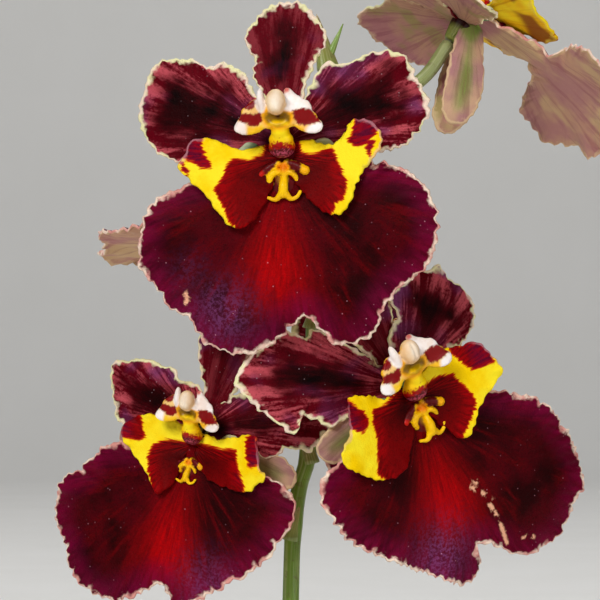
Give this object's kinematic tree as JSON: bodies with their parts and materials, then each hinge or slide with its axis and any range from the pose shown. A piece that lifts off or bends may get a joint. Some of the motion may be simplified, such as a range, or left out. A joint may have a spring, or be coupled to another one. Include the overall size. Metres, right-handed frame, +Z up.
{
  "type": "potted tolumnia orchid",
  "caption": "Dwarf equitant orchid in a small clay pot: fans of sword leaves in bark and one upright spray of dark crimson, yellow-eared blooms.",
  "frame": {"origin": "middle of the pot's flat underside", "axes": "+Z up along the pot's axis; -Y is the side the blooms face"},
  "size_m": [0.0798, 0.0763, 0.2562],
  "materials": {
    "clay": "matte unglazed terracotta",
    "bark": "rough fir bark chips",
    "root": "dull silver-green root skin",
    "leaf": "waxy green, slightly glossy",
    "stem": "smooth yellow-green",
    "tepal": "velvety dark maroon with a pale greenish rim",
    "lip": "velvety crimson with a cream rim and yellow ears",
    "column": "waxy cream and yellow with red patches"
  },
  "bodies": {
    "root": {"pot": "clay", "bark": "bark", "rhizome_roots": "root", "front_fan_leaf_1": "leaf", "front_fan_leaf_2": "leaf", "front_fan_leaf_3": "leaf", "front_fan_leaf_4": "leaf", "east_fan_leaf_1": "leaf", "east_fan_leaf_2": "leaf", "east_fan_leaf_3": "leaf", "east_fan_leaf_4": "leaf", "young_fan_leaf_1": "leaf", "young_fan_leaf_2": "leaf", "back_fan_leaf_1": "leaf", "back_fan_leaf_2": "leaf", "back_fan_leaf_3": "leaf", "back_fan_leaf_4": "leaf", "flower_stem": "stem", "top_bloom_tepals": "tepal", "top_bloom_lip": "lip", "top_bloom_column": "column", "right_bloom_tepals": "tepal", "right_bloom_lip": "lip", "right_bloom_column": "column", "left_bloom_tepals": "tepal", "left_bloom_lip": "lip", "left_bloom_column": "column", "high_bloom_tepals": "tepal", "high_bloom_lip": "lip", "high_bloom_column": "column", "far_left_bloom_tepals": "tepal", "far_left_bloom_lip": "lip", "far_left_bloom_column": "column", "far_right_bloom_tepals": "tepal", "far_right_bloom_lip": "lip", "far_right_bloom_column": "column"}
  },
  "joints": []
}
